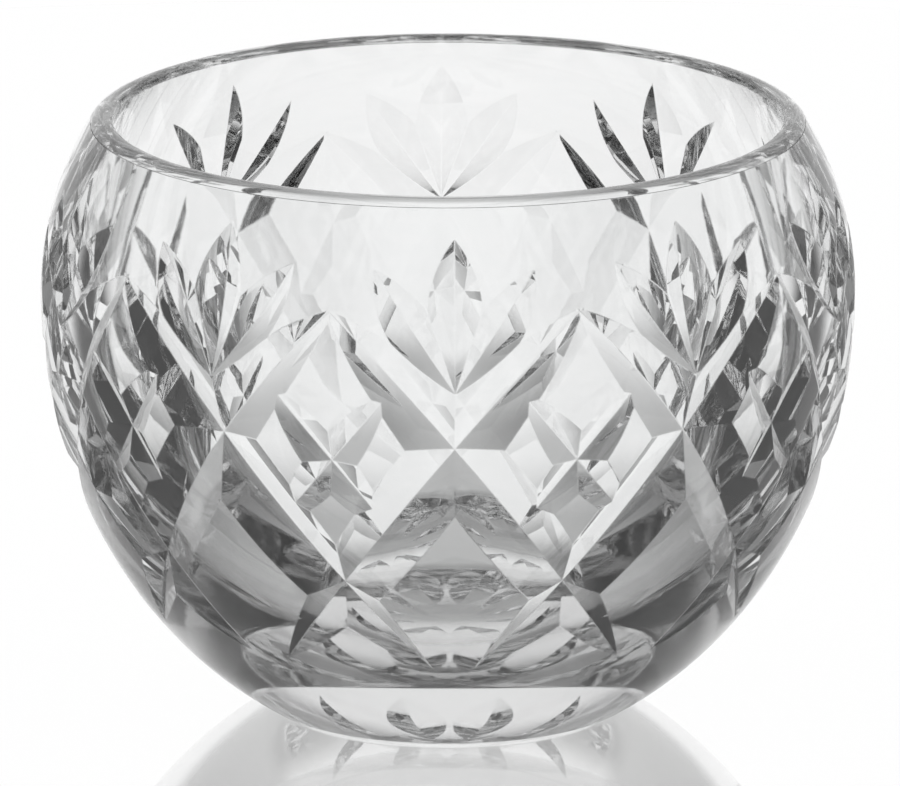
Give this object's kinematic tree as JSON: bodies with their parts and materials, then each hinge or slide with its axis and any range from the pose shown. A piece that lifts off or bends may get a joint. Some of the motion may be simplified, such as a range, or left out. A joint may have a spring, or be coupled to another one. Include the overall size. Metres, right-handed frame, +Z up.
{
  "type": "rose bowl vase",
  "caption": "Squat globe vase of clear cut crystal with a wide plain mouth and a flat star-cut foot; holds cut roses or floating flowers in water.",
  "frame": {"origin": "centre of the foot, on the surface that the bowl stands on", "axes": "+Z up along the bowl's axis; -Y towards the viewer, at a crossing of the long cuts"},
  "size_m": [0.135, 0.135, 0.1],
  "materials": {
    "lead_crystal": "clear, wheel-cut and polished"
  },
  "bodies": {
    "root": {"bowl": "lead_crystal"}
  },
  "joints": []
}
